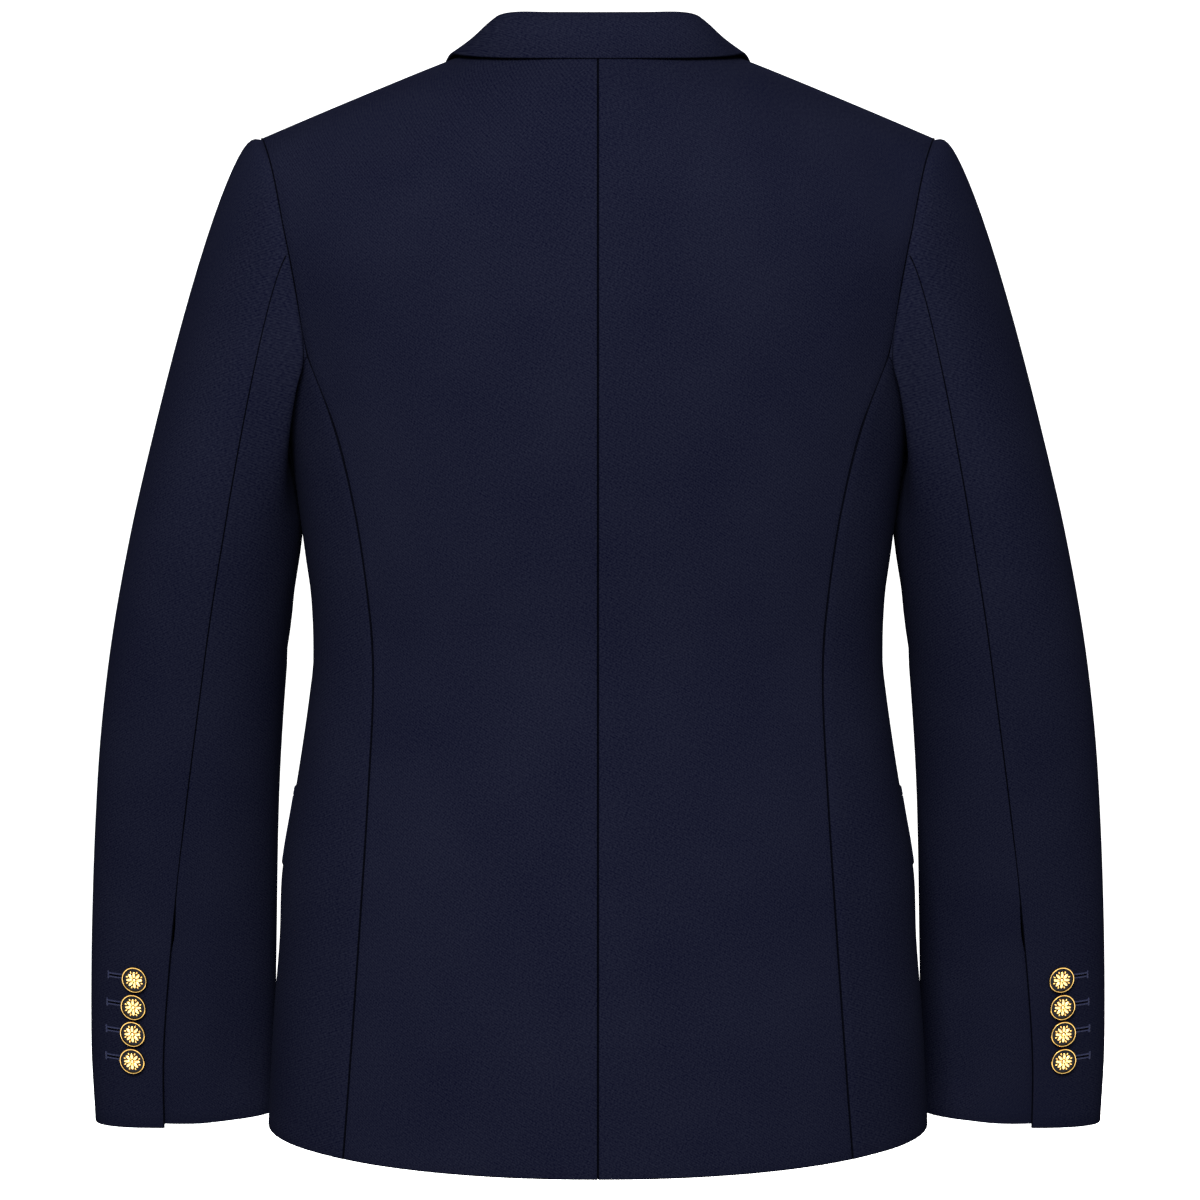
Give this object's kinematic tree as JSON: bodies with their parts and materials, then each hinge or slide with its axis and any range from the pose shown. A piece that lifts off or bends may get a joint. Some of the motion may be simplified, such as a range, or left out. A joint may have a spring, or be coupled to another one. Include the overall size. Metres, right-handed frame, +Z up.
{
  "type": "double-breasted jacket",
  "caption": "Double-breasted navy wool jacket with peaked lapels, plain back, flap pockets and gilt shank buttons on fronts and cuffs.",
  "frame": {"origin": "centre line of the neck, level with the two neck points where the shoulder seams meet the neckline; the jacket is held up here by the wearer's or hanger's shoulders", "axes": "+Z up, -Y towards the front edges, +X towards the wearer's left"},
  "size_m": [0.6948, 0.2724, 0.7509],
  "materials": {
    "navy_wool": "fine twill, matt with a soft sheen",
    "gilt_metal": "polished gilt rim and motif with dark enamel"
  },
  "bodies": {
    "root": {"back_left": "navy_wool", "back_right": "navy_wool", "side_left": "navy_wool", "side_right": "navy_wool", "front_left": "navy_wool", "front_right": "navy_wool", "lapel_left": "navy_wool", "lapel_right": "navy_wool", "sleeve_top_left": "navy_wool", "sleeve_top_right": "navy_wool", "sleeve_under_left": "navy_wool", "sleeve_under_right": "navy_wool", "pocket_welt_left": "navy_wool", "pocket_welt_right": "navy_wool", "pocket_flap_left": "navy_wool", "pocket_flap_right": "navy_wool", "collar_fall": "navy_wool", "collar_stand": "navy_wool", "cuff_button_left_1": "gilt_metal", "cuff_button_left_2": "gilt_metal", "cuff_button_left_3": "gilt_metal", "cuff_button_left_4": "gilt_metal", "cuff_button_right_1": "gilt_metal", "cuff_button_right_2": "gilt_metal", "cuff_button_right_3": "gilt_metal", "cuff_button_right_4": "gilt_metal", "front_button_top_left": "gilt_metal", "front_button_top_right": "gilt_metal", "front_button_middle_left": "gilt_metal", "front_button_middle_right": "gilt_metal", "front_button_bottom_left": "gilt_metal", "front_button_bottom_right": "gilt_metal"}
  },
  "joints": []
}
